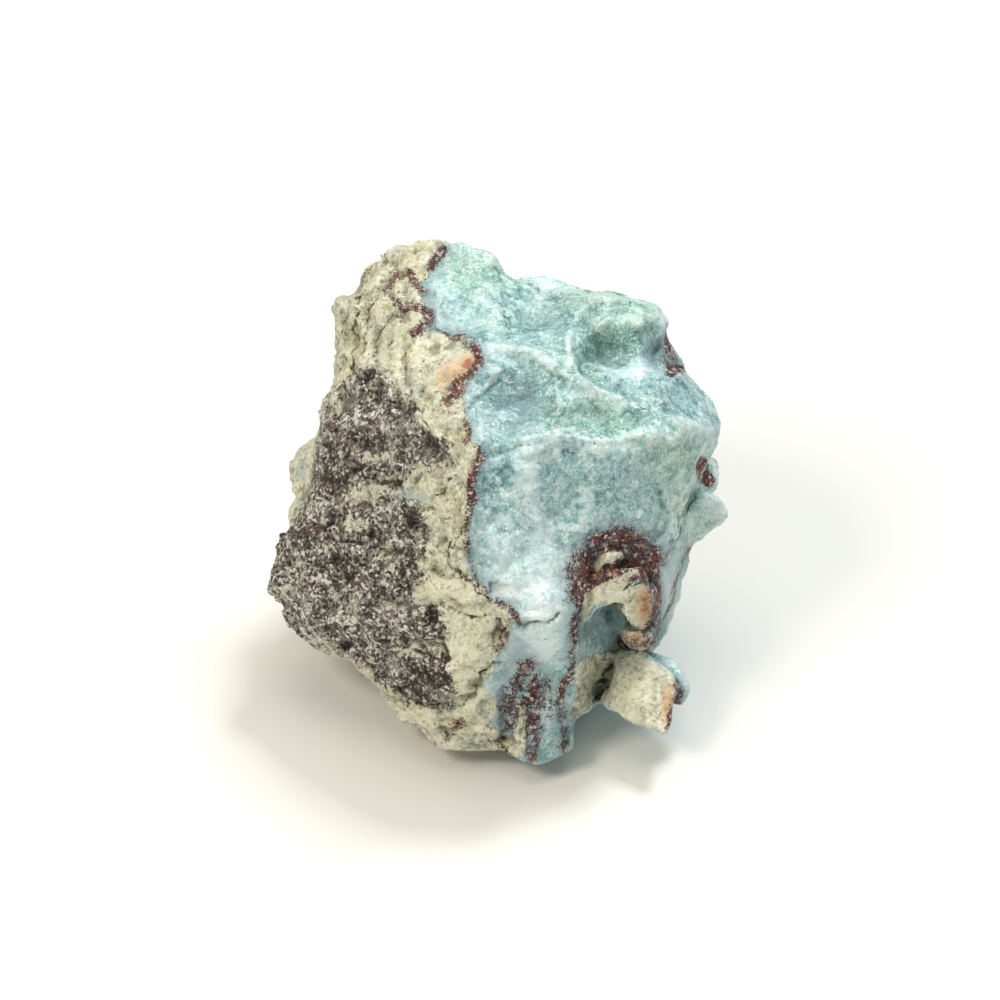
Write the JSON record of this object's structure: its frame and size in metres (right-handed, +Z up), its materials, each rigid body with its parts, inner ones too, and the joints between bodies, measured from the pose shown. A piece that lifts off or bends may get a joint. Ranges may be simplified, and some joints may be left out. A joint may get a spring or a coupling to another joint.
{
  "type": "rough larimar stone",
  "caption": "Rough, broken larimar stone with a basalt face, a cream crust and a rust-red seam, for resting on a shelf or a desk.",
  "frame": {"origin": "centre of the stone's bounding box, on the face that it stands on", "axes": "+X across the front to the right, the longest way; +Y from the front to the back; +Z up"},
  "size_m": [0.0688, 0.0577, 0.0587],
  "materials": {
    "larimar": "rough broken stone: matt blue-green larimar, dry cream crust, dark granular basalt and a rust-red seam"
  },
  "bodies": {
    "root": {"larimar_stone": "larimar"}
  },
  "joints": []
}
